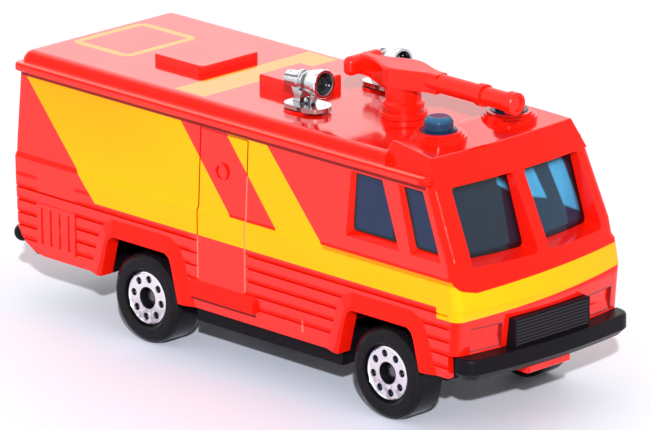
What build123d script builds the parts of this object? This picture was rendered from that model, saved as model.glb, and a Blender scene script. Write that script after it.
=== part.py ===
from build123d import *
import os
from collections import namedtuple
from math import cos, radians, sin

# A die-cast toy of an airport fire truck, in millimetres.
# +X is forward, +Y is the truck's left and +Z is up.
# The origin is on the floor, on the middle plane and midway along the length.

os.makedirs("parts", exist_ok=True)

# Overall body
body_rear_x = -40.4
nose_x = 39.6
belt_half_width = 14.0
roof_z = 33.0

# How far joined forms run into each other, and how far cutters run past
overlap = 0.2
join = 0.1
beyond = 1.0

# Running gear
wheelbase = 42.0
front_axle_x = 25.1
rear_axle_x = front_axle_x - wheelbase
wheel_diameter = 11.4
wheel_width = 4.4
tyre_face_y = belt_half_width - 0.45
axle_diameter = 1.2
axle_z = wheel_diameter / 2
wheel_running_fit = 0.06
wheel_end_play = 0.08
axle_seat_fit = 0.02
axle_snap = 0.1
axle_head_radius = 1.12
axle_head_length = 0.5

# Wheel face
disc_radius = 3.35
disc_depth = 0.5
disc_rim = 0.25
disc_lip = 0.15
groove_width = 0.3
groove_depth = 0.2
tyre_crown = 0.85
hub_radius = 1.3
hub_depth = 1.9
wheel_boss_radius = 1.5
dot_count = 8
dot_circle_radius = 2.45
dot_radius = 0.48
dot_depth = 0.35
front_wheel_turn = 11.5
rear_wheel_turn = 38.5

# Body heights
sill_z = 6.85
rear_sill_z = 7.3
front_sill_z = 7.75
front_edge_z = 10.65
nose_z = 16.4
nose_top_z = 19.4
belt_top_z = 20.0
dash_z = 21.0
pane_foot_z = 22.0
eave_z = 30.4

# Body plan
shoulder_step = 0.3
eave_half_width = 13.15
rear_undercut = 0.3
rear_step = 0.05
rear_lean = 0.5
front_undercut = 0.85
sill_tuck = 0.4
side_tuck = 0.1
nose_top_setback = 0.6
belt_setback = 0.9
dash_setback = 1.5
waist_lean = 0.1
eave_x = 34.0
skirt_bow = 1.35
nose_bow = 1.7
dash_bow = 1.45
brow_bow = 0.95
slight_bow = 0.1
rear_corner_radius = 1.0
front_corner_radius = 1.5
side_end_x = 36.2
rear_round_radius = 6.35
rear_round_inset = 6.1

# Wall thicknesses
wall = 0.95
roof_wall = 1.3
front_wall = 1.2
dash_wall = 1.2
pane_foot_depth = 2.5

# Roof shoulder and gutter bead
shoulder_radius = 1.5
gutter_bead = 1.1
gutter_proud = 0.5
gutter_groove = 0.15
gutter_front_x = 32.4
gutter_corner = 0.95
gutter_end_corner = 1.6

# Brow over the windscreen
brow_rear_x = 22.9
brow_rear_top_z = 34.05
brow_front_top_z = 33.55
brow_lip = 0.3
brow_face_rake = 2.3
brow_foot_half_width = 12.75
brow_rear_half_width = 10.75
brow_front_half_width = 11.8
brow_ramp = 1.0
brow_edge_radius = 0.35
brow_top_bow = 0.4
brow_level_reach = 2.0
brow_nose_fall = 0.4

# Roof hatch and square block
hatch_x, hatch_length, hatch_width, hatch_height = -19.65, 9.1, 9.9, 1.0
block_x, block_length, block_width, block_height = -3.0, 7.5, 7.2, 1.55
hatch_corner, hatch_edge = 0.9, 0.25
block_corner, block_edge = 0.5, 0.3

# Side door, its boss and its step
door_rear_x, door_front_x = -6.8, 1.5
door_foot_z, door_top_z = 10.5, 29.9
seam_width, seam_depth = 0.24, 0.2
boss_x, boss_z, boss_radius, boss_ring = -2.9, 25.0, 1.15, 0.3
step_rear_x, step_front_x = -8.1, 3.4
step_top_z, step_foot_z, step_proud, step_fall = 10.5, 8.45, 0.6, 0.7

# Ribs on the lower sides and round the rear
rib_pitch = 1.64
rib_count = 5
rib_foot_z = 8.85
rib_rise = 0.28
rib_depth = 0.2
rib_front_gap = 3.4

# Rear side panel with upright slots
panel_rear_gap, panel_length = 4.6, 7.0
panel_foot_z, panel_top_z = 8.5, 14.2
panel_proud, panel_border = 0.15, 0.5
slot_count = 4
slot_width, slot_depth = 0.5, 0.2

# Wheel arches, measured from each axle
arch_foot_half = 7.25
arch_shoulder_half = 5.75
arch_corner_half = 5.4
arch_top_half = 4.7
arch_shoulder_z = 11.6
arch_corner_z = 12.4
arch_top_z = 12.85
arch_corner = 0.7
flare_width = 2.1
flare_lip = 0.55
flare_proud = 0.5
arch_depth = 1.5

# Side windows, as the x of each outer corner
WindowRow = namedtuple("WindowRow", "rear_top front_top rear_foot front_foot")
window_table = [
    WindowRow(18.9, 24.5, 18.6, 27.75),
    WindowRow(26.8, 31.3, 29.6, 34.7),
]
window_top_z = 29.75
window_foot_z = 21.6
window_corner = 0.5
window_jamb = 0.7
window_sill = 0.8
window_reveal = 0.55

# Windscreen panes
pane_top_z = 30.1
pane_outer_top, pane_outer_foot = 10.7, 11.05
pane_inner = 0.9
pane_corner = 0.5
dash_rise = 0.25

# Headlight recesses and grille
lamp_inner_y, lamp_outer_y = 7.4, 12.0
lamp_top_z, lamp_ramp_z = 13.8, 12.2
lamp_depth, lamp_corner = 0.4, 0.25
grille_half_width, grille_top_z = 6.45, 14.3
grille_proud, grille_thickness, grille_fit = 1.15, 1.5, 0.08
grille_border = 0.45
grille_rib_count = 9
grille_rib_depth = 0.28
grille_groove_share = 0.36

# Rivet posts and front tab
rear_post_gap, front_post_x = 11.9, 6.0
post_radius = 1.7
rivet_radius = 1.0
rivet_fit = 0.05
rivet_head_radius = 1.7
rivet_head_height = 0.5
tab_x, tab_thickness, tab_half_width = 36.0, 1.2, 3.6
tab_foot_z, tab_foot_height, tab_toe_x, tab_toe_radius = 6.7, 1.1, 39.5, 0.3
tab_rib_width, tab_rib_rise = 0.8, 1.0
tab_fit = 0.1

# Base plate
base_foot_z = 4.6
base_end_foot_z = 6.7
base_floor = 1.0
base_wall = 1.0
base_top_z = 8.4
base_fit = 0.1
base_half_width = belt_half_width - 1.6
base_rear_x, base_front_x = body_rear_x + 3.8, nose_x - 5.2
base_waist_half_width = 8.3
keel_reach, keel_ramp = 4.4, 1.6
saddle_half_length, saddle_height = 1.6, 0.45
bumper_foot_z, bumper_height = 7.85, 2.75
bumper_front_x, bumper_half_width = nose_x + 1.3, belt_half_width - 0.05
bumper_bow = 1.2
bumper_depth = 2.4
bumper_radius = 2.2
bumper_edge, bumper_chamfer = 0.4, 0.9
bridge_lap = 0.4
cheek_width, cheek_length, cheek_setback, cheek_foot_z = 1.0, 2.1, 0.9, 7.0
rear_bumper_radius = 1.15
rear_bumper_x, rear_bumper_z = body_rear_x + 0.3, 9.1
rear_bumper_half = belt_half_width - 0.25
valance_drop, valance_rise = 1.2, 1.0

# Glazing
glazing_fit = 0.06
glazing_wall = 0.85
glazing_rear_x = 17.0
glazing_skirt = 0.6
attic_inset, attic_step, attic_corners = 0.6, 0.25, (1.2, 0.6)
dome_x, dome_y = 26.8, 6.0
dome_stalk_radius, dome_radius, dome_height, dome_rounding = 2.25, 1.78, 1.75, 0.8
dome_fit = 0.05
CollarStep = namedtuple("CollarStep", "radius height")
collar_table = [CollarStep(3.4, 0.28), CollarStep(3.1, 0.58), CollarStep(2.8, 0.85)]

# Foam cannon
monitor_x = 14.85
monitor_fit = 0.05
monitor_end_play = 0.05
monitor_pin_radius = 1.1
monitor_clip_radius, monitor_clip_height = 1.6, 0.5
monitor_clip_chamfer = 0.3
flange_radius, flange_height, flange_chamfer = 2.9, 0.7, 0.1
bulge_radius, bulge_height, bulge_foot, bulge_slope = 2.55, 1.0, 0.2, 0.15
column_radius = 2.2
boom_foot_z, boom_top_z, boom_edge = 37.05, 39.45, 0.35
BoomStation = namedtuple("BoomStation", "reach half_width")
boom_table = [
    BoomStation(-6.6, 1.0),
    BoomStation(-2.6, 1.65),
    BoomStation(0.0, 2.6),
    BoomStation(2.0, 2.2),
    BoomStation(4.3, 1.3),
    BoomStation(6.5, 1.0),
]
brace_foot_z, brace_half_width = 36.0, 1.0
handle_x, handle_length, handle_half_width = 8.0, 1.7, 2.95
handle_foot_z, handle_top_z, handle_edge = 37.05, 39.4, 0.75
barrel_z, barrel_radius = 38.25, 1.18
collar_ring_x, collar_ring_length, collar_ring_radius = 27.9, 0.9, 1.4
nozzle_radius, nozzle_end_x = 1.15, 32.6
end_ring_x, end_ring_radius, end_ring_slope, muzzle_radius, muzzle_depth = 34.1, 1.4, 0.2, 0.95, 0.3
ring_chamfer = 0.15

# Floodlights
flood_y, flood_z, flood_face_x = 6.65, 36.85, 8.1
flood_tilt = -3.0
flood_rim_chamfer = 0.2
flood_rim_radius, flood_mouth_radius, flood_mouth_depth = 1.82, 1.42, 1.1
flood_barrel_radius, flood_length = 0.98, 6.3
flood_ring_radius, flood_ring_back, flood_ring_length = 1.32, 3.9, 0.4
flood_plate_rear_x, flood_plate_front_x, flood_plate_width = 2.2, 8.4, 4.0
flood_plate_z, flood_plate_height, flood_plate_corner = 33.35, 0.55, 1.5
flood_leg_width, flood_prop_width, flood_ball_radius, flood_ball_x = 1.0, 0.8, 0.45, 5.1
flood_post_foot, flood_post_head = (3.0, 4.2), (3.8, 4.9)
flood_strut_foot, flood_strut_head = (3.4, 4.3), (2.4, 3.3)
flood_prop_foot, flood_prop_head = (5.4, 6.0), (6.8, 7.4)
flood_pad_x, flood_pad_radius, flood_pad_height = 4.35, 2.4, 0.22
flood_pin_radius, flood_fit = 0.75, 0.03
flood_boss_radius, flood_clip_radius, flood_clip_height, flood_clip_play = 1.5, 1.05, 0.4, 0.02

Section = namedtuple("Section", "z rear front bow half")

upper_half = belt_half_width - shoulder_step
pane_foot_half = upper_half - waist_lean
eave_rear_x = body_rear_x + rear_lean
skirt_front_x = nose_x - front_undercut
outer_sections = [
    Section(sill_z, body_rear_x + rear_undercut, skirt_front_x - sill_tuck, skirt_bow, belt_half_width - side_tuck),
    Section(front_edge_z, body_rear_x + rear_undercut, skirt_front_x, skirt_bow, belt_half_width),
    Section(nose_z, body_rear_x + rear_step, nose_x, nose_bow, belt_half_width),
    Section(nose_top_z, body_rear_x, nose_x - nose_top_setback, nose_bow, belt_half_width),
    Section(belt_top_z, body_rear_x + rear_step, nose_x - belt_setback, nose_bow, upper_half),
    Section(pane_foot_z, body_rear_x + 2 * rear_step, nose_x - dash_setback, dash_bow, pane_foot_half),
    Section(eave_z, eave_rear_x, eave_x, brow_bow, eave_half_width),
]
pane_foot_x = nose_x - dash_setback - pane_foot_depth
roof_inner_z = roof_z - roof_wall
attic_front_x = eave_x - front_wall - attic_step
lower_top_z = dash_z - dash_wall
rib_top_z = rib_foot_z + rib_count * rib_pitch
grille_face_x = skirt_front_x + grille_proud
panel_rear_x = body_rear_x + panel_rear_gap
panel_front_x = panel_rear_x + panel_length
post_table = [body_rear_x + rear_post_gap, front_post_x]
across = (-belt_half_width - beyond, belt_half_width + beyond)


def section_face(section, rear_radius, front_radius):
    """A horizontal section: straight sides and rear, a front bowed forward, rounded corners."""
    z, rear, front, bow, half = section
    with BuildSketch(Plane.XY.offset(z)) as plan:
        with BuildLine():
            Polyline((front - bow, half), (rear, half), (rear, -half), (front - bow, -half))
            ThreePointArc((front - bow, -half), (front, 0), (front - bow, half))
        make_face()
        fillet(plan.vertices().group_by(Axis.X)[0], rear_radius)
        fillet(plan.vertices().group_by(Axis.X)[-1], front_radius)
    return plan.sketch


def stack(sections):
    """A ruled solid through horizontal sections."""
    return loft([section_face(s, rear_corner_radius, front_corner_radius) for s in sections], ruled=True)


def section_at(z, inset=0.0, front_inset=0.0):
    """The body's section at a height below the nose, moved in all round or at its front."""
    low, high = outer_sections[1], outer_sections[2]
    share = (z - low.z) / (high.z - low.z)
    level = Section(*[a + share * (b - a) for a, b in zip(low, high)])
    front = level.front - inset - front_inset
    return level._replace(rear=level.rear + inset, front=front, half=level.half - inset)


def outline_face(plane, points, corner=0.0):
    """A face on a plane from its corner points, with its corners rounded."""
    with BuildSketch(plane) as face:
        with BuildLine():
            Polyline(*points, close=True)
        make_face()
        if corner:
            fillet(face.vertices(), corner)
    return face.sketch


def side_prism(points, near_y, far_y, corner=0.0):
    """A prism across the truck from an outline in side view, given as (x, z)."""
    face = outline_face(Plane.XZ, points, corner)
    return extrude(face, amount=near_y - far_y).translate((0, near_y, 0))


def front_prism(points, rear_x, front_x, corner=0.0):
    """A prism along the truck from an outline in front view, given as (y, z)."""
    face = outline_face(Plane.YZ, points, corner)
    return extrude(face, amount=front_x - rear_x).translate((rear_x, 0, 0))


def side_loft(near_points, near_y, far_points, far_y, corner=0.0):
    """A ruled solid across the truck between two outlines in side view."""
    near = outline_face(Plane.XZ.offset(-near_y), near_points, corner)
    far = outline_face(Plane.XZ.offset(-far_y), far_points, corner)
    return loft([near, far], ruled=True)


def front_loft(rear_points, rear_x, front_points, front_x, corner=0.0):
    """A ruled solid along the truck between two outlines in front view."""
    rear = outline_face(Plane.YZ.offset(rear_x), rear_points, corner)
    front = outline_face(Plane.YZ.offset(front_x), front_points, corner)
    return loft([rear, front], ruled=True)


def block(x, y, z):
    """A box from its three (low, high) ranges."""
    size = [high - low for low, high in (x, y, z)]
    centre = [(high + low) / 2 for low, high in (x, y, z)]
    return Box(*size).translate(tuple(centre))


def upright(radius, x, y, low, high):
    """A vertical cylinder between two heights."""
    return Cylinder(radius, high - low).translate((x, y, (low + high) / 2))


def crosswise(radius, x, z, near_y, far_y):
    """A cylinder across the truck."""
    return Cylinder(radius, far_y - near_y, rotation=(90, 0, 0)).translate((x, (near_y + far_y) / 2, z))


def turned(points, axis):
    """A solid of revolution from (along, radius) points on an axis through the origin."""
    if axis == Axis.Z:
        outline = [Vector(radius, 0, along) for along, radius in points]
    elif axis == Axis.Y:
        outline = [Vector(0, along, radius) for along, radius in points]
    else:
        outline = [Vector(along, 0, radius) for along, radius in points]
    return revolve(make_face(Polyline(*outline, close=True)), axis=axis)


def both_sides(solid):
    """A form and its mirror image on the other side of the truck."""
    return [solid, mirror(solid, about=Plane.XZ)]


def arch_outline(axle_x, grow, foot_z):
    """The outline of a wheel arch in side view."""
    half = [
        (arch_foot_half + grow, foot_z),
        (arch_shoulder_half + grow, arch_shoulder_z + 0.2 * grow),
        (arch_corner_half + 0.75 * grow, arch_corner_z + 0.7 * grow),
        (arch_top_half + 0.2 * grow, arch_top_z + grow),
    ]
    rear = [(axle_x - x, z) for x, z in half]
    front = [(axle_x + x, z) for x, z in reversed(half)]
    return rear + front


def roof_top():
    """The roof with its rounded shoulders, on top of the eaves."""
    root_z = eave_z - overlap
    plan = Section(root_z, eave_rear_x, brow_rear_x + 2 * brow_ramp, slight_bow, eave_half_width)
    top = extrude(section_face(plan, shoulder_radius + overlap, join / 2), amount=roof_z - root_z)
    edges = top.edges().group_by(Axis.Z)[-1].sort_by(Axis.X)[:-3]
    return fillet(edges, shoulder_radius)


def gutter():
    """The bead along both sides and round the rear, under the roof's shoulder."""
    half = eave_half_width + gutter_proud
    plan = Section(eave_z, eave_rear_x - gutter_proud, gutter_front_x, slight_bow, half)
    bead = extrude(section_face(plan, gutter_corner, gutter_end_corner), amount=gutter_bead)
    edges = bead.edges().group_by(Axis.Z)
    bead = fillet(edges[-1], gutter_proud - join / 2)
    return chamfer(bead.edges().group_by(Axis.Z)[0], gutter_groove)


def brow():
    """The raised hood over the windscreen, which carries the beacon collars."""
    foot_z = eave_z - overlap
    top_z = brow_rear_top_z + overlap
    foot_front = eave_x + brow_lip
    top_front = foot_front - brow_face_rake * (top_z - foot_z) / (brow_front_top_z - foot_z)
    outlines = [
        (foot_z, brow_rear_x, brow_foot_half_width, brow_foot_half_width, foot_front, brow_bow),
        (top_z, brow_rear_x + brow_ramp, brow_rear_half_width, brow_front_half_width, top_front, brow_top_bow),
    ]
    faces = []
    for z, rear, rear_half, front_half, front, bow in outlines:
        with BuildSketch(Plane.XY.offset(z)) as plan:
            with BuildLine():
                Polyline(
                    (front - bow, front_half),
                    (rear, rear_half),
                    (rear, -rear_half),
                    (front - bow, -front_half),
                )
                ThreePointArc((front - bow, -front_half), (front, 0), (front - bow, front_half))
            make_face()
        faces.append(plan.sketch)
    hood = loft(faces, ruled=True)
    level_end_x = dome_x - brow_level_reach
    above = side_prism(
        [
            (brow_rear_x - beyond, brow_rear_top_z),
            (level_end_x, brow_rear_top_z),
            (top_front, brow_front_top_z),
            (nose_x, brow_front_top_z - brow_nose_fall),
            (nose_x, brow_rear_top_z + beyond),
            (brow_rear_x - beyond, brow_rear_top_z + beyond),
        ],
        *across,
    )
    hood -= above
    return fillet(hood.edges().filter_by(lambda e: e.center().Z > foot_z + join), brow_edge_radius)


def ribs():
    """The ledges that leave clapboard ribs on the lower sides and rear, as cutters."""
    cutters = []
    for index in range(rib_count):
        z = rib_foot_z + index * rib_pitch
        ledge = block((body_rear_x - beyond, nose_x - rib_front_gap), across, (z, z + rib_rise))
        cutters.append(ledge - stack([section_at(z, rib_depth), section_at(z + rib_rise)]))
    return cutters


def flare(axle_x):
    """The raised band round one wheel opening on the right side, sloped away from the opening."""
    outer = arch_outline(axle_x, flare_width, sill_z)
    lip = arch_outline(axle_x, flare_lip, sill_z)
    band = side_loft(lip, -belt_half_width - flare_proud, outer, -belt_half_width)
    return band + side_prism(outer, -belt_half_width, -belt_half_width + wall / 2)


def side_details():
    """The raised forms of the right side: flares, slotted panel, door step and door boss."""
    side = -belt_half_width
    rooted = side + wall / 2
    parts = [flare(front_axle_x), flare(rear_axle_x)]
    panel = block((panel_rear_x, panel_front_x), (side - panel_proud, rooted), (panel_foot_z, panel_top_z))
    pitch = (panel_length - panel_border) / slot_count
    for index in range(slot_count):
        x = panel_rear_x + panel_border / 2 + (index + 0.5) * pitch
        panel -= block(
            (x - slot_width / 2, x + slot_width / 2),
            (side - beyond, side - panel_proud + slot_depth),
            (panel_foot_z + panel_border, panel_top_z - panel_border),
        )
    parts.append(panel)
    parts.append(block((door_rear_x, door_front_x), (side, rooted), (step_foot_z, rib_top_z)))
    tread = [
        (rooted, step_top_z + overlap),
        (side, step_top_z),
        (side - step_proud, step_top_z - step_fall),
        (side - step_proud, step_foot_z),
        (rooted, step_foot_z),
    ]
    parts.append(front_prism(tread, step_rear_x, step_front_x))
    boss_face_y = -upper_half
    boss = crosswise(boss_radius, boss_x, boss_z, boss_face_y, boss_face_y + wall)
    boss -= crosswise(boss_radius - boss_ring, boss_x, boss_z, boss_face_y - beyond, boss_face_y + boss_ring)
    parts.append(boss)
    return parts


def door_seams():
    """The grooves round the cast-in door of the right side, as cutters."""
    upper = -upper_half
    side = -belt_half_width
    lean = (upper_half - eave_half_width) / (eave_z - belt_top_z)
    top_y = upper + lean * (door_top_z - belt_top_z) + seam_depth
    cutters = []
    for x in (door_rear_x, door_front_x):
        outline = [
            (upper + seam_depth, belt_top_z - beyond),
            (upper - beyond, belt_top_z - beyond),
            (upper - beyond, door_top_z),
            (top_y, door_top_z),
        ]
        seam = (x - seam_width / 2, x + seam_width / 2)
        cutters.append(front_prism(outline, *seam))
        cutters.append(block(seam, (side - beyond, side + seam_depth), (door_foot_z, belt_top_z)))
    head = (door_top_z - seam_width, door_top_z)
    cutters.append(block((door_rear_x, door_front_x), (upper - beyond, top_y), head))
    return cutters


def window_outline(row, jamb, sill, shrink=0.0):
    """The corners of one side window as (x, z), with its rear edge and its sill moved in."""
    heights = (window_foot_z + sill + shrink, window_top_z - shrink)
    rear, front = [], []
    for z in heights:
        share = (window_top_z - z) / (window_top_z - window_foot_z)
        rear.append((row.rear_top + share * (row.rear_foot - row.rear_top) + jamb + shrink, z))
        front.append((row.front_top + share * (row.front_foot - row.front_top) - shrink, z))
    return rear + front[::-1]


def side_windows():
    """The side window openings of the right side, bevelled behind and below, as cutters."""
    inner_y = -eave_half_width + wall + attic_inset
    bevel_y = -pane_foot_half + wall
    cutters = []
    for row in window_table:
        outer = window_outline(row, 0, 0)
        inner = window_outline(row, window_jamb, window_sill)
        bevel = side_loft(outer, -upper_half, inner, bevel_y)
        cutters.append(bevel + side_prism(inner, bevel_y - overlap, inner_y, window_corner))
    return cutters


def windscreen():
    """One windscreen opening with a sloping sill, as a cutter."""
    rear_x = eave_x - 4 * beyond
    front_x = nose_x + beyond
    outlines = []
    for x in (rear_x, front_x):
        sill = dash_z + dash_rise * (pane_foot_x + pane_foot_depth - x) / pane_foot_depth
        outlines.append(
            [
                (pane_inner, sill),
                (pane_outer_foot, sill),
                (pane_outer_top, pane_top_z),
                (pane_inner, pane_top_z),
            ]
        )
    return front_loft(outlines[0], rear_x, outlines[1], front_x, pane_corner)


def headlight():
    """A shallow recess with a ramp at its foot, which frames one moulded headlight, as a cutter."""
    outline = [
        (lamp_inner_y, front_edge_z - beyond),
        (lamp_outer_y, front_edge_z - beyond),
        (lamp_outer_y, lamp_top_z),
        (lamp_inner_y, lamp_top_z),
    ]
    core = stack(
        [
            section_at(front_edge_z - 2 * beyond, front_inset=-lamp_depth),
            section_at(front_edge_z),
            section_at(lamp_ramp_z, front_inset=lamp_depth),
            section_at(lamp_top_z + beyond, front_inset=lamp_depth),
        ]
    )
    return front_prism(outline, skirt_front_x - 4 * beyond, nose_x + beyond, lamp_corner) - core


def rounded_block(x, size_x, size_y, height, corner, edge):
    """A raised block on the roof with rounded corners and a softened top edge."""
    plan = Pos(x, 0, roof_z - overlap) * RectangleRounded(size_x, size_y, corner)
    solid = extrude(plan, amount=height + overlap)
    return fillet(solid.edges().group_by(Axis.Z)[-1], edge)


def roof_gear():
    """Hatch, square block, floodlight pads and beacon collars on the roof."""
    parts = [
        rounded_block(hatch_x, hatch_length, hatch_width, hatch_height, hatch_corner, hatch_edge),
        rounded_block(block_x, block_length, block_width, block_height, block_corner, block_edge),
    ]
    for side in (1, -1):
        y = side * flood_y
        parts.append(upright(flood_pad_radius, flood_pad_x, y, roof_z - overlap, roof_z + flood_pad_height))
        for step in collar_table:
            top_z = brow_rear_top_z + step.height
            parts.append(upright(step.radius, dome_x, side * dome_y, roof_z + overlap, top_z))
    return parts


def cavity():
    """The hollow inside the casting: one part under the dash and one above it."""
    lower_front = skirt_front_x - front_wall
    rear = body_rear_x + wall
    lower = stack(
        [
            Section(sill_z - beyond, rear + rear_undercut, lower_front - overlap, skirt_bow, belt_half_width - wall),
            Section(lower_top_z, rear + join, skirt_front_x - overlap, nose_bow, upper_half - wall),
        ]
    )
    half = pane_foot_half - wall
    upper = stack(
        [
            Section(lower_top_z - join, rear + join, pane_foot_x + overlap, dash_bow, half),
            Section(pane_foot_z, rear + join, pane_foot_x, dash_bow, half),
            Section(eave_z, eave_rear_x + wall, eave_x - front_wall, brow_bow, eave_half_width - wall),
        ]
    )
    attic_half = eave_half_width - wall - attic_inset
    attic_plan = Section(eave_z, eave_rear_x + wall + attic_inset, attic_front_x, brow_bow, attic_half)
    attic = extrude(section_face(attic_plan, *attic_corners), amount=roof_inner_z - eave_z)
    return [lower, upper, attic]


def rear_round(radius):
    """The space below the rounded rear end of the sills, as a cutter."""
    centre_x = body_rear_x + rear_round_inset
    centre_z = rear_sill_z + rear_round_radius
    space = block((body_rear_x - 2 * beyond, centre_x), across, (0, centre_z))
    return space - crosswise(radius, centre_x, centre_z, *across)


def arch_lining(axle_x):
    """The walls that line one wheel opening on the right side."""
    near_y = -belt_half_width + overlap
    return side_prism(arch_outline(axle_x, wall, sill_z), near_y, -belt_half_width + arch_depth)


def base_foot_at(x):
    """The height of the base's underside, lower between the axles than at its ends."""
    keel = rear_axle_x - keel_reach < x < front_axle_x + keel_reach
    return base_foot_z if keel else base_end_foot_z


def posts_and_tab():
    """The two rivet posts, the tab that holds the front of the base, and its ribs."""
    parts = []
    for post_x in post_table:
        foot_z = base_foot_at(post_x)
        shoulder_z = foot_z + base_floor
        parts.append(upright(post_radius, post_x, 0, shoulder_z, roof_inner_z + overlap))
        parts.append(upright(rivet_radius, post_x, 0, foot_z - join, shoulder_z + join))
        parts.append(upright(rivet_head_radius, post_x, 0, foot_z - rivet_head_height, foot_z))
    tab_front = tab_x + tab_thickness
    width = (-tab_half_width, tab_half_width)
    parts.append(block((tab_x, tab_front), width, (tab_foot_z, lower_top_z + overlap)))
    toe = block((tab_x, tab_toe_x), width, (tab_foot_z, tab_foot_z + tab_foot_height))
    parts.append(fillet(toe.edges().group_by(Axis.X)[-1], tab_toe_radius))
    for y in (-tab_half_width + tab_rib_width, tab_half_width - tab_rib_width):
        side = (y - tab_rib_width / 2, y + tab_rib_width / 2)
        rise = (grille_top_z + tab_rib_rise, lower_top_z + overlap)
        parts.append(block((tab_front - overlap, nose_x - front_undercut), side, rise))
    return parts


def body_shell():
    """The painted casting."""
    shell = stack(outer_sections) - ribs()
    shell += [roof_top(), gutter(), brow()]
    for form in side_details():
        shell += both_sides(form)
    shell += roof_gear()
    shell -= cavity()
    rear_bar = crosswise(rear_bumper_radius + base_fit, rear_bumper_x, rear_bumper_z, *across)
    shell -= [rear_round(rear_round_radius), rear_bar]
    for axle_x in (front_axle_x, rear_axle_x):
        shell += both_sides(arch_lining(axle_x))
        shell -= side_prism(arch_outline(axle_x, 0, sill_z - beyond), *across, arch_corner)
    cutters = [
        block((body_rear_x - beyond, rear_axle_x), across, (0, rear_sill_z)),
        block((front_axle_x, nose_x + beyond), across, (0, front_sill_z)),
        block((side_end_x, nose_x + beyond), across, (0, front_edge_z)),
    ]
    for form in side_windows() + door_seams() + [windscreen(), headlight()]:
        cutters += both_sides(form)
    shell -= cutters
    inner_half = belt_half_width - wall
    front = (base_front_x, nose_x + beyond)
    shell -= [
        block((base_front_x, nose_x), (-inner_half, inner_half), (0, front_edge_z)),
        block(front, (-grille_half_width, grille_half_width), (front_edge_z - beyond, grille_top_z)),
    ]
    shell += posts_and_tab()
    holes = [upright(monitor_pin_radius + monitor_fit, monitor_x, 0, roof_inner_z - beyond, roof_z + beyond)]
    for side in (1, -1):
        dome_hole_radius = dome_stalk_radius + dome_fit
        holes.append(upright(dome_hole_radius, dome_x, side * dome_y, roof_inner_z - beyond, roof_z + 3))
        pin_hole_radius = flood_pin_radius + flood_fit
        holes.append(upright(pin_hole_radius, flood_pad_x, side * flood_y, roof_inner_z - beyond, roof_z + beyond))
    return shell - holes


def cab_inside(inset):
    """The inside of the cab below the eaves, smaller by an inset."""
    half = pane_foot_half - wall - inset
    front = pane_foot_x - inset
    eave_front = eave_x - front_wall - inset
    return stack(
        [
            Section(lower_top_z - beyond, 0, front + overlap, dash_bow, half),
            Section(pane_foot_z, 0, front, dash_bow, half),
            Section(eave_z - max(inset, 0), 0, eave_front, brow_bow, eave_half_width - wall - inset),
        ]
    )


def attic_inside(inset):
    """The inside of the roof over the cab, smaller by an inset."""
    half = eave_half_width - wall - attic_inset - inset
    plan = Section(eave_z - inset, 0, attic_front_x - inset, brow_bow, half)
    return extrude(section_face(plan, *attic_corners), amount=roof_inner_z - eave_z)


def glazing():
    """The tinted moulding: windscreen, side windows, roof web and two beacon domes."""
    glass = cab_inside(glazing_fit) + attic_inside(glazing_fit)
    inner = glazing_fit + glazing_wall
    glass -= [cab_inside(inner), attic_inside(inner)]
    foot_z = lower_top_z + glazing_skirt
    glass &= block((glazing_rear_x, nose_x), across, (foot_z, roof_z))
    raised = cab_inside(window_reveal - wall)
    for row in window_table:
        outline = window_outline(row, window_jamb, window_sill, glazing_fit)
        pane = side_prism(outline, -belt_half_width, -eave_half_width + wall + overlap, window_corner)
        glass += both_sides(pane & raised)
    base_z = brow_rear_top_z + collar_table[-1].height
    dome = upright(dome_radius, 0, 0, base_z - join, base_z + dome_height)
    dome = fillet(dome.edges().group_by(Axis.Z)[-1], dome_rounding)
    dome += upright(dome_stalk_radius, 0, 0, roof_inner_z - glazing_fit - overlap, base_z + join)
    for side in (1, -1):
        glass += dome.translate((dome_x, side * dome_y, 0))
    return glass


def base_outline(inset, z):
    """The plan of the base's tray, waisted beside the wheels."""
    with BuildSketch(Plane.XY.offset(z)) as plan:
        length = base_front_x - base_rear_x
        with Locations(((base_front_x + base_rear_x) / 2, 0)):
            Rectangle(length - 2 * inset, 2 * (base_half_width - inset))
        notch_half = arch_foot_half + wall + base_fit + inset
        notch_width = base_half_width - base_waist_half_width
        for axle_x in (front_axle_x, rear_axle_x):
            for side in (1, -1):
                y = side * (base_waist_half_width - inset + notch_width)
                with Locations((axle_x, y)):
                    Rectangle(2 * notch_half, 2 * notch_width, mode=Mode.SUBTRACT)
    return plan.sketch


def keel_profile(lift):
    """The side view of the tray's inside or outside, deeper between the axles."""
    keel_rear = rear_axle_x - keel_reach
    keel_front = front_axle_x + keel_reach
    return [
        (base_rear_x - beyond, base_end_foot_z + lift),
        (keel_rear - keel_ramp, base_end_foot_z + lift),
        (keel_rear, base_foot_z + lift),
        (keel_front, base_foot_z + lift),
        (keel_front + keel_ramp, base_end_foot_z + lift),
        (base_front_x + beyond, base_end_foot_z + lift),
        (base_front_x + beyond, base_top_z + lift),
        (base_rear_x - beyond, base_top_z + lift),
    ]


def tray():
    """The hollow tray between the bumpers, with a saddle under each axle."""
    height = base_top_z - base_foot_z
    half = base_half_width
    shell = extrude(base_outline(0, base_foot_z), amount=height)
    shell &= side_prism(keel_profile(0), -half - beyond, half + beyond)
    hollow = extrude(base_outline(base_wall, base_foot_z), amount=height + beyond)
    hollow &= side_prism(keel_profile(base_floor), -half - beyond, half + beyond)
    shell -= hollow
    waist = (-base_waist_half_width, base_waist_half_width)
    for axle_x in (front_axle_x, rear_axle_x):
        length = (axle_x - saddle_half_length, axle_x + saddle_half_length)
        shell += block(length, waist, (base_foot_z - saddle_height, base_foot_z + base_floor))
    return shell


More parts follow.
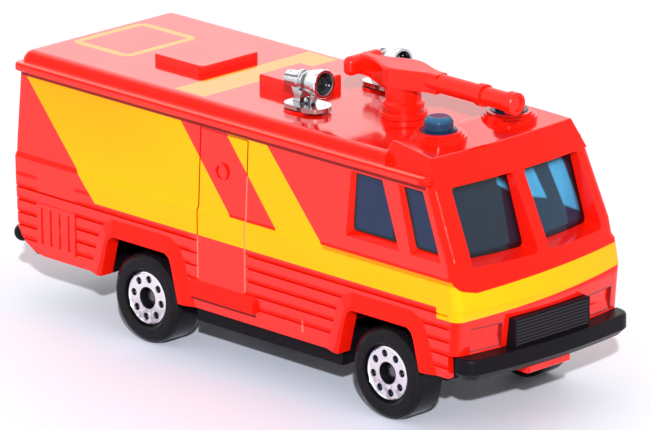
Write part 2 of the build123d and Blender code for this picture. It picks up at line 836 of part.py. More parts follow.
def front_bumper():
    """The bowed front bumper with rounded ends and a chamfer below."""
    front = bumper_front_x
    rear = front - bumper_depth
    end_x = front - bumper_bow
    rear_end_x = rear - bumper_bow
    half = bumper_half_width
    with BuildSketch(Plane.XY.offset(bumper_foot_z)) as plan:
        with BuildLine():
            ThreePointArc((end_x, -half), (front, 0), (end_x, half))
            Line((end_x, half), (rear_end_x, half))
            ThreePointArc((rear_end_x, half), (rear, 0), (rear_end_x, -half))
            Line((rear_end_x, -half), (end_x, -half))
        make_face()
        fillet(plan.vertices().group_by(Axis.X)[-1], bumper_radius)
    bar = extrude(plan.sketch, amount=bumper_height)
    outer = bar.edges().filter_by(lambda e: e.center().X > rear_end_x + bumper_radius).group_by(Axis.Z)
    bar = chamfer(outer[0], bumper_chamfer)
    outer = bar.edges().filter_by(lambda e: e.center().X > rear_end_x + bumper_radius).group_by(Axis.Z)
    return fillet(outer[-1], bumper_edge)


def grille():
    """The ribbed grille that stands in the body's front opening."""
    half = grille_half_width - grille_fit
    top_z = grille_top_z - grille_fit
    rear_x = grille_face_x - grille_thickness
    solid = block((rear_x, grille_face_x), (-half, half), (bumper_foot_z + bumper_chamfer, top_z))
    rib_low_z = bumper_foot_z + bumper_height
    pitch = (top_z - rib_low_z) / grille_rib_count
    for index in range(grille_rib_count):
        z = rib_low_z + (index + 0.5) * pitch
        groove = [
            (grille_face_x - grille_rib_depth, z),
            (grille_face_x + join, z - grille_groove_share * pitch),
            (grille_face_x + join, z + grille_groove_share * pitch),
        ]
        solid -= side_prism(groove, -half + grille_border, half - grille_border)
    return solid


def rear_end():
    """The valance that carries the rear bumper, and the round bar itself."""
    half = base_half_width
    valance = [
        (base_rear_x + base_wall, base_end_foot_z),
        (base_rear_x - valance_drop, base_end_foot_z),
        (rear_bumper_x, rear_bumper_z - rear_bumper_radius),
        (rear_bumper_x, rear_bumper_z + valance_rise),
        (base_rear_x + base_wall, rear_bumper_z + valance_rise),
    ]
    solid = side_prism(valance, -half, half)
    round_x = body_rear_x + rear_round_inset
    solid -= crosswise(rear_round_radius + base_fit, round_x, rear_sill_z + rear_round_radius, *across)
    reach = rear_bumper_half - rear_bumper_radius
    solid += crosswise(rear_bumper_radius, rear_bumper_x, rear_bumper_z, -reach, reach)
    for side in (1, -1):
        solid += Sphere(rear_bumper_radius).translate((rear_bumper_x, side * reach, rear_bumper_z))
    return solid


def base_plate():
    """The black moulding: tray with axle seats, both bumpers and the grille."""
    half = base_half_width
    bridge_rear = base_front_x - base_wall
    bridge_front = bumper_front_x - bumper_depth + bridge_lap
    bridge = block((bridge_rear, bridge_front), (-half, half), (bumper_foot_z, bumper_foot_z + base_floor))
    plate = tray() + [bridge, front_bumper(), grille(), rear_end()]
    cheek_front_x = tab_toe_x - cheek_setback
    cheek_rear_x = cheek_front_x - cheek_length
    for side in (1, -1):
        near = side * (tab_half_width + tab_fit)
        far = near + side * cheek_width
        cheek = [
            (cheek_rear_x, bumper_foot_z + overlap),
            (cheek_rear_x, cheek_foot_z),
            (cheek_rear_x + cheek_length / 3, cheek_foot_z),
            (cheek_front_x, bumper_foot_z + overlap),
        ]
        plate += side_prism(cheek, min(near, far), max(near, far))
    seat = axle_diameter / 2 + axle_seat_fit
    mouth = axle_diameter / 2 - axle_snap
    for axle_x in (front_axle_x, rear_axle_x):
        plate -= crosswise(seat, axle_x, axle_z, -half, half)
        plate -= block((axle_x - mouth, axle_x + mouth), (-half, half), (axle_z, base_top_z + beyond))
    plate -= block(
        (tab_x - tab_fit, tab_x + tab_thickness + tab_fit),
        (-tab_half_width - tab_fit, tab_half_width + tab_fit),
        (bumper_foot_z - beyond, bumper_foot_z + base_floor + beyond),
    )
    for post_x in post_table:
        foot_z = base_foot_at(post_x)
        plate -= upright(rivet_radius + rivet_fit, post_x, 0, foot_z - beyond, foot_z + base_floor + join)
    return plate


def axle():
    """A wire axle with a peened head at each end, centred on the origin."""
    head_y = tyre_face_y - hub_depth + wheel_end_play
    radius = axle_diameter / 2
    profile = [
        (0, 0),
        (0, radius),
        (head_y, radius),
        (head_y, axle_head_radius),
        (head_y + 0.6 * axle_head_length, axle_head_radius),
        (head_y + axle_head_length, 0.5 * axle_head_radius),
        (head_y + axle_head_length, 0),
    ]
    half = turned(profile, Axis.Y)
    return half + mirror(half, about=Plane.XZ)


def wheel():
    """One left wheel, centred on its axle, with a recessed disc and eight dots."""
    face = tyre_face_y
    radius = wheel_diameter / 2
    bore = axle_diameter / 2 + wheel_running_fit
    disc_y = face - disc_depth
    hub_y = face - hub_depth
    inner_y = face - wheel_width
    boss_y = base_waist_half_width + wheel_end_play
    groove_y = disc_y - groove_depth
    tyre_inner = disc_radius + groove_width
    profile = [
        (hub_y, bore),
        (hub_y, hub_radius),
        (disc_y, hub_radius),
        (disc_y, disc_radius - disc_rim),
        (disc_y + disc_lip, disc_radius - disc_rim / 2),
        (disc_y + disc_lip / 2, disc_radius),
        (groove_y, disc_radius),
        (groove_y, tyre_inner),
        (face - disc_lip, tyre_inner),
        (face, tyre_inner + disc_rim),
        (face, radius - tyre_crown),
        (face - 0.12 * tyre_crown, radius - 0.55 * tyre_crown),
        (face - 0.45 * tyre_crown, radius - 0.15 * tyre_crown),
        (face - tyre_crown, radius),
        (inner_y + 0.5 * tyre_crown, radius),
        (inner_y, radius - 0.5 * tyre_crown),
        (inner_y, wheel_boss_radius),
        (boss_y, wheel_boss_radius),
        (boss_y, bore),
    ]
    dots = []
    for index in range(dot_count):
        angle = radians(360 / dot_count * index)
        x = dot_circle_radius * cos(angle)
        z = dot_circle_radius * sin(angle)
        dots.append(crosswise(dot_radius, x, z, disc_y - dot_depth, face))
    return turned(profile, Axis.Y) - dots


def boom():
    """The cannon's flat arm, swollen over its column and tapered to the barrel."""
    right = [(monitor_x + station.reach, -station.half_width) for station in boom_table]
    left = [(x, -y) for x, y in reversed(right)]
    with BuildSketch(Plane.XY.offset(boom_foot_z)) as plan:
        with BuildLine():
            Spline(*right)
            Line(right[-1], left[0])
            Spline(*left)
            Line(left[-1], right[0])
        make_face()
    arm = extrude(plan.sketch, amount=boom_top_z - boom_foot_z)
    return fillet(arm.edges().group_by(Axis.Z)[-1].sort_by(SortBy.LENGTH)[-2:], boom_edge)


def monitor():
    """The foam cannon: pinned column, arm, handle bar, barrel and nozzle."""
    foot_z = roof_z + monitor_end_play
    neck_z = foot_z + flange_height
    bulge_top_z = neck_z + bulge_height
    clip_top_z = roof_inner_z - monitor_end_play
    column = turned(
        [
            (clip_top_z - monitor_clip_height, 0),
            (clip_top_z - monitor_clip_height, monitor_clip_radius - monitor_clip_chamfer),
            (clip_top_z, monitor_clip_radius),
            (clip_top_z, monitor_pin_radius),
            (foot_z, monitor_pin_radius),
            (foot_z, flange_radius),
            (neck_z - flange_chamfer, flange_radius),
            (neck_z, flange_radius - flange_chamfer),
            (neck_z, column_radius),
            (neck_z + bulge_foot, column_radius),
            (neck_z + bulge_foot + bulge_slope, bulge_radius),
            (bulge_top_z, bulge_radius),
            (bulge_top_z + 2 * bulge_slope, column_radius),
            (boom_foot_z + overlap, column_radius),
            (boom_foot_z + overlap, 0),
        ],
        Axis.Z,
    ).translate((monitor_x, 0, 0))
    brace = side_prism(
        [
            (handle_x, boom_foot_z + overlap),
            (handle_x, boom_foot_z),
            (handle_x + handle_length, boom_foot_z),
            (monitor_x - column_radius, brace_foot_z),
            (monitor_x, brace_foot_z),
            (monitor_x, boom_foot_z + overlap),
        ],
        -brace_half_width,
        brace_half_width,
    )
    bar = block(
        (handle_x - handle_length / 2, handle_x + handle_length / 2),
        (-handle_half_width, handle_half_width),
        (handle_foot_z, handle_top_z),
    )
    bar = fillet(bar.edges(), handle_edge)
    tube_x = monitor_x + boom_table[-2].reach
    tube = turned(
        [
            (tube_x, 0),
            (tube_x, barrel_radius),
            (collar_ring_x, barrel_radius),
            (collar_ring_x, collar_ring_radius),
            (collar_ring_x + collar_ring_length, collar_ring_radius),
            (collar_ring_x + collar_ring_length, nozzle_radius),
            (nozzle_end_x, nozzle_radius),
            (nozzle_end_x + end_ring_slope, end_ring_radius),
            (end_ring_x - ring_chamfer, end_ring_radius),
            (end_ring_x, end_ring_radius - ring_chamfer),
            (end_ring_x, muzzle_radius),
            (end_ring_x - muzzle_depth, muzzle_radius - ring_chamfer),
            (end_ring_x - muzzle_depth, 0),
        ],
        Axis.X,
    ).translate((0, 0, barrel_z))
    return column + [boom(), brace, bar, tube]


def lamp():
    """One floodlight's housing: a slim rear, a ring, and a bell with an open mouth."""
    rim = flood_rim_radius
    barrel = flood_barrel_radius
    ring_x = -flood_ring_back
    edge = flood_rim_chamfer
    return turned(
        [
            (-flood_length, 0),
            (-flood_length, barrel - edge),
            (-flood_length + edge, barrel),
            (ring_x - edge, barrel + edge / 2),
            (ring_x, flood_ring_radius),
            (ring_x + flood_ring_length, flood_ring_radius),
            (ring_x + flood_ring_length + edge / 2, flood_ring_radius - edge),
            (ring_x + 2 * flood_ring_length, flood_ring_radius - edge / 2),
            (-0.5 * flood_ring_back, rim - 1.5 * edge),
            (-0.2 * flood_ring_back, rim - edge / 3),
            (-edge / 2, rim),
            (0, rim - edge / 2),
            (0, flood_mouth_radius),
            (-flood_mouth_depth, flood_mouth_radius - edge),
            (-flood_mouth_depth, 0),
        ],
        Axis.X,
    )


def floodlight():
    """The left floodlight: lamp, bracket, foot plate and pin in one moulding."""
    housing = lamp().rotate(Axis.Y, flood_tilt).translate((flood_face_x, 0, flood_z))
    plate_rear = flood_plate_rear_x
    plate_front = flood_plate_front_x
    half = flood_plate_width / 2
    with BuildSketch(Plane.XY.offset(flood_plate_z)) as plan:
        with BuildLine():
            Polyline(
                (plate_front - half, half),
                (plate_rear, half),
                (plate_rear, -half),
                (plate_front - half, -half),
            )
            ThreePointArc((plate_front - half, -half), (plate_front, 0), (plate_front - half, half))
        make_face()
        fillet(plan.vertices().group_by(Axis.X)[0], flood_plate_corner)
    plate = extrude(plan.sketch, amount=flood_plate_height)
    plate_top_z = flood_plate_z + flood_plate_height
    root_z = plate_top_z - join
    wide = flood_leg_width / 2
    slim = flood_prop_width / 2

    def leg(foot, head, foot_z, head_z, half_width):
        """A slanted leg between two heights, each end given as its rear and front x."""
        outline = [(foot[0], foot_z), (foot[1], foot_z), (head[1], head_z), (head[0], head_z)]
        return side_prism(outline, -half_width, half_width)

    under_z = flood_z - flood_barrel_radius / 2
    post = leg(flood_post_foot, flood_post_head, root_z, under_z, wide)
    strut = leg(flood_strut_foot, flood_strut_head, plate_top_z + slim, flood_z, wide)
    prop = leg(flood_prop_foot, flood_prop_head, root_z, under_z, slim)
    ball = Sphere(flood_ball_radius).translate((flood_ball_x, 0, plate_top_z + slim))
    pad_top_z = roof_z + flood_pad_height
    clip_top_z = roof_inner_z - flood_clip_play
    clip_foot_z = clip_top_z - flood_clip_height
    pin = upright(flood_pin_radius, flood_pad_x, 0, clip_foot_z, flood_plate_z + join)
    boss = upright(flood_boss_radius, flood_pad_x, 0, pad_top_z, flood_plate_z + join)
    clip = upright(flood_clip_radius, flood_pad_x, 0, clip_foot_z, clip_top_z)
    solid = housing + [plate, post, strut, prop, ball, pin, boss, clip]
    return solid.translate((0, flood_y, 0))


nodes = {
    "body_shell": body_shell(),
    "glazing": glazing(),
    "base_plate": base_plate(),
    "monitor": monitor(),
}
left_light = floodlight()
nodes["floodlight_left"] = left_light
nodes["floodlight_right"] = mirror(left_light, about=Plane.XZ)
left_wheel = wheel()
for place, axle_x, turn in (("front", front_axle_x, front_wheel_turn), ("rear", rear_axle_x, rear_wheel_turn)):
    nodes[place + "_axle"] = axle().translate((axle_x, 0, axle_z))
    placed = left_wheel.rotate(Axis.Y, -turn).translate((axle_x, 0, axle_z))
    nodes["wheel_" + place + "_left"] = placed
    nodes["wheel_" + place + "_right"] = mirror(placed, about=Plane.XZ)

for name, solid in nodes.items():
    export_step(solid, os.path.join("parts", name + ".step"))
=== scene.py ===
import math

import bpy
from mathutils import Matrix, Vector

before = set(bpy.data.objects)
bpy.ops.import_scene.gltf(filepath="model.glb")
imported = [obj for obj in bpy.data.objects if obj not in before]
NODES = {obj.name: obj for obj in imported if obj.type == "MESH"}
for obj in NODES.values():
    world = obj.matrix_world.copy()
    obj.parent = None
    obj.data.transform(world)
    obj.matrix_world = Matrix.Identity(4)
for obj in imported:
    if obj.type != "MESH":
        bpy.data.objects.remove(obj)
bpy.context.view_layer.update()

MM = 0.001

# Places on the truck in millimetres: x runs to its front, y to its left and z up from the floor
FRONT_AXLE_X = 25.1
REAR_AXLE_X = -16.9
AXLE_Z = 5.7
EAVE_Z = 30.4
ROOF_Z = 33.0
TAIL_X = -39.4
NOSE_X = 36.0
GUTTER_FRONT_X = 31.8
DOOR_REAR_X = -6.8
DOOR_FRONT_X = 1.5
SEAM_FOOT_Z = 10.7
STEP_REAR_X = -8.0
STEP_FRONT_X = 3.4
STEP_SHADOW_Z = 8.15
RIB_FOOT_Z = 8.85
RIB_PITCH = 1.64
RIBS = 5
SLOTS_REAR_X = -35.8
SLOTS_FRONT_X = -28.8
LUG_X = 11.45
HEADLIGHT_INNER_Y = 7.3
HEADLIGHT_OUTER_Y = 12.1
HEADLIGHT_FOOT_Z = 10.9
HEADLIGHT_TOP_Z = 14.0
GRILLE_X = 38.5
GRILLE_HALF_Y = 6.0
GRILLE_FOOT_Z = 10.8
GRILLE_TOP_Z = 14.0

# From these half widths outwards lie the printed flanks, the lower sides, the skirt and the arches
FLANK_Y = 12.85
LOWER_SIDE_Y = 13.0
SKIRT_Y = 13.8
ARCH_Y = 14.28

# Yellow print: each slanted edge has its x at the eave, its x at the foot and the foot's z
PANEL_REAR = (-38.7, -25.8, 16.9)
PANEL_FRONT = (-10.8, -1.2, 19.7)
SLASH_REAR = (-2.8, 7.1, 19.4)
SLASH_FRONT = (4.3, 14.7, 19.6)
STRIPE_FOOT = 16.3
STRIPE_TOP = 19.7
STRIPE_END_X = 34.4
CROSS_REAR_X = -13.3
CROSS_FRONT_X = -8.1
CROSS_HALF_Y = 11.4
FRAME_X = -32.65
FRAME_HALF_X = 5.25
FRAME_HALF_Y = 6.2
FRAME_BORDER = 1.1
FRAME_CORNER = 1.5

# The foil discs of the wheels and the mouths of the floodlights
WHEEL_FACE_Y = 12.9
FOIL_INNER = 1.42
FOIL_OUTER = 3.42
FLOOD_Y = 6.65
FLOOD_Z = 36.85
FLOOD_FACE_X = 8.1
MOUTH_RADIUS = 1.42
MOUTH_DEPTH = 1.4

# Windows and beacons: the front jamb of the side windows leans forward below JAMB_TOP_Z
WINDSCREEN_X = 30.0
WINDSCREEN_HALF_Y = 12.2
PANE_INNER_Y = 1.0
SIDE_GLASS_Y = 12.1
SILL_Z = 22.75
REAR_JAMB_X = 19.85
FRONT_PANE_X = 26.0
FRONT_JAMB_X = 28.0
JAMB_TOP_Z = 29.75
JAMB_LEAN = 0.344
BEACON_TOP_Z = 36.2

# Camera and flash, as the photograph was taken
CAMERA_PLACE = Vector((0.646361, -0.627723, 0.295683))
VIEW_RIGHT = Vector((0.69887821, 0.71520582, -0.00706282))
VIEW_UP = Vector((-0.20651417, 0.21123411, 0.95537011))
FOCAL_PIXELS = 7702.24
IMAGE_WIDTH = 650
SENSOR_WIDTH = 36.0
FLASH_DIRECTION = Vector((-0.65, 0.619, -0.442))
FLASH_STRENGTH = 3.4
FLASH_ANGLE = math.radians(1.5)

# Strength of the white world as a light, and as what a glossy surface mirrors
AMBIENT = 0.68
MIRRORED = 1.3

OCCLUSION_SAMPLES = 12


def srgb(red, green, blue):
    """A display colour, 0 to 255, as linear RGBA."""
    def linear(value):
        value /= 255
        return value / 12.92 if value <= 0.04045 else ((value + 0.055) / 1.055) ** 2.4
    return (linear(red), linear(green), linear(blue), 1.0)


class Field:
    """A number that varies over a surface, as a chain of shader nodes."""

    def __init__(self, tree, socket):
        self.tree = tree
        self.socket = socket

    def op(self, kind, *others, clamp=False):
        node = self.tree.nodes.new("ShaderNodeMath")
        node.operation = kind
        node.use_clamp = clamp
        for slot, value in zip(node.inputs, (self,) + others):
            if isinstance(value, Field):
                self.tree.links.new(value.socket, slot)
            else:
                slot.default_value = value
        return Field(self.tree, node.outputs[0])

    def __add__(self, other):
        return self.op("ADD", other)

    def __sub__(self, other):
        return self.op("SUBTRACT", other)

    def __mul__(self, other):
        return self.op("MULTIPLY", other)

    def __truediv__(self, other):
        return self.op("DIVIDE", other)

    def __rsub__(self, other):
        return self.op("MULTIPLY_ADD", -1.0, other)

    def __abs__(self):
        return self.op("ABSOLUTE")

    def over(self, edge, soft=0.08):
        """1 where this is over an edge and 0 where it is under it."""
        return (self - edge).op("MULTIPLY_ADD", 1 / soft, 0.5, clamp=True)

    def under(self, edge, soft=0.08):
        """1 where this is under an edge and 0 where it is over it."""
        return (self - edge).op("MULTIPLY_ADD", -1 / soft, 0.5, clamp=True)

    def inside(self, low, high, soft=0.08):
        """1 between two edges and 0 outside them."""
        return self.over(low, soft) * self.under(high, soft)

    def either(self, other):
        """The larger of the two."""
        return self.op("MAXIMUM", other)

    def span(self, start, width):
        """A number that runs from start, where this is 0, up by width where this is 1."""
        return self.op("MULTIPLY_ADD", width, start)

    def squared(self):
        return self.op("POWER", 2.0)

    def distance(self, other):
        """The length of the diagonal whose sides are this and the other."""
        return (self.squared() + other.squared()).op("SQRT")


class Surface:
    """A material with a Principled shader and the object's coordinates in millimetres."""

    def __init__(self, name, **constants):
        self.material = bpy.data.materials.new(name)
        self.material.use_nodes = True
        self.tree = self.material.node_tree
        self.shader = self.tree.nodes["Principled BSDF"]
        for key, value in constants.items():
            self.shader.inputs[key.replace("_", " ")].default_value = value
        metres = self.tree.nodes.new("ShaderNodeTexCoord").outputs["Object"]
        scaled = self.tree.nodes.new("ShaderNodeVectorMath")
        scaled.operation = "SCALE"
        scaled.inputs["Scale"].default_value = 1 / MM
        self.tree.links.new(metres, scaled.inputs[0])
        self.place = scaled.outputs[0]
        self.x, self.y, self.z = self.split(self.place)
        self.side = abs(self.y)

    def split(self, vector):
        node = self.tree.nodes.new("ShaderNodeSeparateXYZ")
        self.tree.links.new(vector, node.inputs[0])
        return [Field(self.tree, part) for part in node.outputs]

    def facing(self):
        """The three parts of the surface's own direction."""
        return self.split(self.tree.nodes.new("ShaderNodeNewGeometry").outputs["Normal"])

    def open_air(self, reach):
        """1 on an open surface and less in creases, within a reach in millimetres."""
        node = self.tree.nodes.new("ShaderNodeAmbientOcclusion")
        node.samples = OCCLUSION_SAMPLES
        node.inputs["Distance"].default_value = reach * MM
        return Field(self.tree, node.outputs["AO"])

    def noise(self, size, detail=2.0):
        """Smooth noise whose blotches are about size millimetres across."""
        node = self.tree.nodes.new("ShaderNodeTexNoise")
        node.inputs["Scale"].default_value = 1 / size
        node.inputs["Detail"].default_value = detail
        self.tree.links.new(self.place, node.inputs["Vector"])
        return Field(self.tree, node.outputs["Fac"])

    def mix(self, low, high, amount):
        """A colour between two colours, each a colour or a socket."""
        node = self.tree.nodes.new("ShaderNodeMix")
        node.data_type = "RGBA"
        self.tree.links.new(amount.socket, node.inputs["Factor"])
        for slot, value in ((node.inputs[6], low), (node.inputs[7], high)):
            if isinstance(value, tuple):
                slot.default_value = value
            else:
                self.tree.links.new(value, slot)
        return node.outputs[2]

    def link(self, source, name):
        """Feeds a field or a socket to one of the shader's inputs."""
        socket = source.socket if isinstance(source, Field) else source
        self.tree.links.new(socket, self.shader.inputs[name])

    def bump(self, height, distance):
        """Raises the surface by height times distance millimetres."""
        node = self.tree.nodes.new("ShaderNodeBump")
        node.inputs["Distance"].default_value = distance * MM
        self.tree.links.new(height.socket, node.inputs["Height"])
        self.tree.links.new(node.outputs[0], self.shader.inputs["Normal"])


def side_print(surface):
    """The yellow panel, the slash ahead of the door and the stripe along each flank."""
    x, z = surface.x, surface.z

    def ahead_of(top_x, foot_x, foot_z):
        """How far a point lies in front of a slanted line from the eave down to foot_z."""
        lean = (foot_x - top_x) / (EAVE_Z - foot_z)
        return x - top_x - (EAVE_Z - z) * lean

    from_rear_edge = ahead_of(*PANEL_REAR).over(0)
    panel = from_rear_edge * ahead_of(*PANEL_FRONT).under(0)
    slash = ahead_of(*SLASH_REAR).over(0) * ahead_of(*SLASH_FRONT).under(0)
    stripe = z.under(STRIPE_TOP) * from_rear_edge
    flank = z.inside(STRIPE_FOOT, EAVE_Z) * surface.side.over(FLANK_Y) * x.under(STRIPE_END_X)
    return panel.either(slash).either(stripe) * flank


def front_print(surface):
    """The band across the front: a little tilted, bowed along its top and dipping at the corners."""
    foot_z, foot_tilt = 15.65, 0.052
    top_z, top_tilt, top_bow = 18.75, 0.036, 0.0012
    corner_x, corner_slope = 36.6, 0.95
    x, y, z = surface.x, surface.y, surface.z
    above_foot = z - y * foot_tilt - foot_z
    above_top = z - y * top_tilt + y.squared() * top_bow - top_z
    above_corner = z - (STRIPE_TOP - (x - corner_x).either(0.0) * corner_slope)
    over_band = above_top.over(0).op("MINIMUM", above_corner.over(0))
    return x.over(STRIPE_END_X - 0.1) * above_foot.over(0) * (1.0 - over_band)


def roof_print(surface):
    """The cross band on the roof, and the round-cornered frame near its rear."""
    side = surface.side
    along = abs(surface.x - FRAME_X)
    cross = surface.x.inside(CROSS_REAR_X, CROSS_FRONT_X) * side.under(CROSS_HALF_Y)
    past_x = (along - (FRAME_HALF_X - FRAME_CORNER)).either(0.0)
    past_y = (side - (FRAME_HALF_Y - FRAME_CORNER)).either(0.0)
    within = past_x.distance(past_y).under(FRAME_CORNER)
    past_edge = (along - FRAME_HALF_X).either(side - FRAME_HALF_Y)
    border = within * past_edge.over(-FRAME_BORDER)
    return cross.either(border) * surface.z.over(ROOF_Z - 0.15)


def livery(surface):
    """Where the yellow print lies on the body: 1 on the print and 0 off it."""
    return side_print(surface).either(front_print(surface)).either(roof_print(surface))


def gutter_shadow(surface):
    """The dark line under the gutter, along both sides and the rear."""
    around = surface.side.over(12.6).either(surface.x.under(TAIL_X))
    line = surface.z.inside(EAVE_Z - 0.5, EAVE_Z + 0.05, 0.15)
    return line * surface.x.under(GUTTER_FRONT_X) * around


def step_shadow(surface):
    """The dark line under each door step."""
    along = surface.x.inside(STEP_REAR_X, STEP_FRONT_X, 0.3) * surface.side.over(SKIRT_Y)
    return surface.z.inside(STEP_SHADOW_Z - 0.3, STEP_SHADOW_Z + 0.3, 0.15) * along


def headlight_recess_shade(surface):
    """Painted shade along the edges of the headlight recesses."""
    side_line, foot_line, top_line = 0.35, 0.2, 0.4
    across = surface.side.inside(HEADLIGHT_INNER_Y, HEADLIGHT_OUTER_Y)
    whole = across * surface.z.inside(HEADLIGHT_FOOT_Z, HEADLIGHT_TOP_Z)
    middle = surface.side.inside(HEADLIGHT_INNER_Y + side_line, HEADLIGHT_OUTER_Y - side_line)
    middle *= surface.z.inside(HEADLIGHT_FOOT_Z + foot_line, HEADLIGHT_TOP_Z - top_line)
    return whole * (1.0 - middle) * surface.x.over(NOSE_X) * 0.85


def rib_feet(surface):
    """The duller foot of each clapboard rib, clear of the doors and the slotted panels."""
    door = surface.x.inside(DOOR_REAR_X - 1.3, DOOR_FRONT_X + 0.2)
    slots = surface.x.inside(SLOTS_REAR_X, SLOTS_FRONT_X)
    foot = (surface.z - RIB_FOOT_Z).op("MODULO", RIB_PITCH).under(0.6, 0.25)
    ribbed = surface.z.inside(RIB_FOOT_Z, RIB_FOOT_Z + RIBS * RIB_PITCH + 0.5)
    return foot * (1.0 - door) * (1.0 - slots) * ribbed * surface.side.over(LOWER_SIDE_Y)


def seam_highlights(surface):
    """The lower lengths of the door seams, painted pale as a highlight on their edges."""
    half_width, front_top_z, rear_top_z = 0.3, 25.3, 16.1
    front = abs(surface.x - DOOR_FRONT_X).under(half_width) * surface.z.inside(SEAM_FOOT_Z, front_top_z)
    rear = abs(surface.x - DOOR_REAR_X).under(half_width) * surface.z.inside(SEAM_FOOT_Z, rear_top_z)
    return front.either(rear) * surface.side.over(LOWER_SIDE_Y)


def body_yellow(surface, tone):
    """The printed yellow: deeper high on the rear of the sides and at the side stripe's upper edge."""
    yellow = surface.mix(srgb(250, 166, 0), srgb(254, 173, 0), tone)
    high_up = surface.z.over(25.0, 9.0) * surface.x.under(-16.0, 16.0)
    yellow = surface.mix(yellow, srgb(252, 154, 0), high_up * surface.z.under(ROOF_Z - 1.0))
    upper_edge = surface.z.inside(STRIPE_TOP - 0.45, STRIPE_TOP + 0.1)
    along = surface.x.inside(15.0, 37.0) * surface.side.over(FLANK_Y)
    return surface.mix(yellow, srgb(250, 118, 0), upper_edge * along * 0.8)


def red_enamel():
    """The body's gloss enamel with its printed stripes; painted shade in creases, under the gutter and
    door steps and round the headlights; painted highlights on the door seams, the lugs and the gutter;
    and painted shade on the sides of the roof gear.
    """
    surface = Surface("red_enamel", Roughness=0.12, IOR=1.5, Coat_Roughness=0.05, Coat_IOR=1.5)
    x, z, side = surface.x, surface.z, surface.side
    forward, sideways, upward = surface.facing()
    roof = upward.over(0.9, 0.2)
    printed = livery(surface)
    # Painted shade: the dark lines under the gutter and the door steps and round the headlight recesses
    lines = gutter_shadow(surface).either(step_shadow(surface)).either(headlight_recess_shade(surface))

    tone = surface.noise(9.0)
    red = surface.mix(srgb(228, 18, 4), srgb(238, 24, 8), tone)
    enamel = surface.mix(red, body_yellow(surface, tone), printed)
    # Painted shade: creases, found by occlusion, are darkened toward these colours
    yellow_crease_shade = surface.mix(srgb(160, 60, 0), srgb(248, 158, 0), x.over(10.0))
    crease_shade = surface.mix(srgb(206, 18, 10), yellow_crease_shade, printed)
    # Painted highlight along the lower door seams
    crease_shade = surface.mix(crease_shade, srgb(255, 150, 130), seam_highlights(surface))
    shaded = surface.mix(crease_shade, enamel, surface.open_air(0.8).over(0.45, 0.35))
    # Painted highlight: a pale line on an edge of the lug on each skirt
    lug_edge_highlight = abs(x - LUG_X).under(0.16) * z.inside(7.9, 9.4) * side.over(SKIRT_Y)
    shaded = surface.mix(shaded, srgb(255, 110, 95), lug_edge_highlight * 0.7)
    # Painted highlight: a pale line along the top edge of the gutter
    gutter_highlight = z.inside(EAVE_Z + 1.0, EAVE_Z + 1.15, 0.12) * side.over(12.9)
    gutter_highlight *= x.under(GUTTER_FRONT_X - 0.3)
    shaded = surface.mix(shaded, srgb(255, 130, 115), gutter_highlight * 0.6)
    # Painted shade: the sides of the roof gear are darker than their tops
    gear_side_shade = z.over(ROOF_Z + 0.1) * x.under(3.0) * (1.0 - roof)
    shaded = surface.mix(shaded, srgb(208, 34, 24), gear_side_shade * 0.8)
    surface.link(surface.mix(shaded, srgb(130, 26, 28), lines), "Base Color")

    mottle = surface.noise(5.0).span(0.42, 0.16)
    coat = roof * (mottle - x.over(4.0, 10.0) * 0.2) * (1.0 - printed * 0.35)
    surface.link(coat, "Coat Weight")

    bare = 1.0 - printed.either(lines).either(rib_feet(surface))
    flat = abs(sideways).over(0.985, 0.02) * side.under(ARCH_Y) * bare
    skirt = forward.over(0.8, 0.2) * z.under(15.4, 0.6)
    surface.link(roof.either(flat).either(skirt).span(0.12, 0.38), "Specular IOR Level")
    surface.bump(surface.noise(1.6, 1.0), 0.012)
    return surface.material


def black_moulding():
    """The base's black plastic, painted a little paler on the grille as a sheen on its ribs."""
    surface = Surface("black_moulding", Roughness=0.3, IOR=1.5, Specular_IOR_Level=0.07)
    plain = surface.mix(srgb(12, 10, 14), srgb(22, 19, 24), surface.noise(1.2, 3.0))
    # Painted sheen: the grille is painted paler, for the light its ribs catch
    grille = surface.x.over(GRILLE_X) * surface.side.under(GRILLE_HALF_Y)
    grille *= surface.z.inside(GRILLE_FOOT_Z, GRILLE_TOP_Z)
    surface.link(surface.mix(plain, srgb(44, 41, 47), grille), "Base Color")
    surface.bump(surface.noise(0.25, 2.0), 0.01)
    return surface.material


def wheel_finish(name, axle_x):
    """A black wheel with a silver foil disc on its outer face, with a painted dark reflection low on the
    foil.
    """
    surface = Surface(name, IOR=1.5)
    radius = (surface.x - axle_x).distance(surface.z - AXLE_Z)
    foil = radius.inside(FOIL_INNER, FOIL_OUTER) * surface.side.over(WHEEL_FACE_Y)
    grain = surface.noise(0.8, 3.0)
    rubber = surface.mix(srgb(12, 11, 14), srgb(24, 22, 27), grain)
    silver = surface.mix(srgb(222, 222, 228), srgb(245, 245, 250), grain)
    # Painted reflection: the foil is mottled darker below the axle
    dark_reflection = surface.noise(0.7, 3.0).over(0.5, 0.12) * surface.z.under(AXLE_Z - 1.0, 1.5)
    silver = surface.mix(silver, srgb(150, 150, 156), dark_reflection * 0.7)
    surface.link(surface.mix(rubber, silver, foil), "Base Color")
    surface.link(foil, "Metallic")
    surface.link(foil.span(0.16, -0.02), "Roughness")
    surface.link(foil.span(0.12, 0.4), "Specular IOR Level")
    surface.bump(surface.noise(0.5, 2.0), 0.008)
    return surface.material


def steel():
    """The wire of the axles."""
    surface = Surface("axle_wire", Metallic=1.0, Roughness=0.4)
    wire = surface.mix(srgb(95, 95, 100), srgb(135, 135, 142), surface.noise(0.6))
    surface.link(wire, "Base Color")
    return surface.material


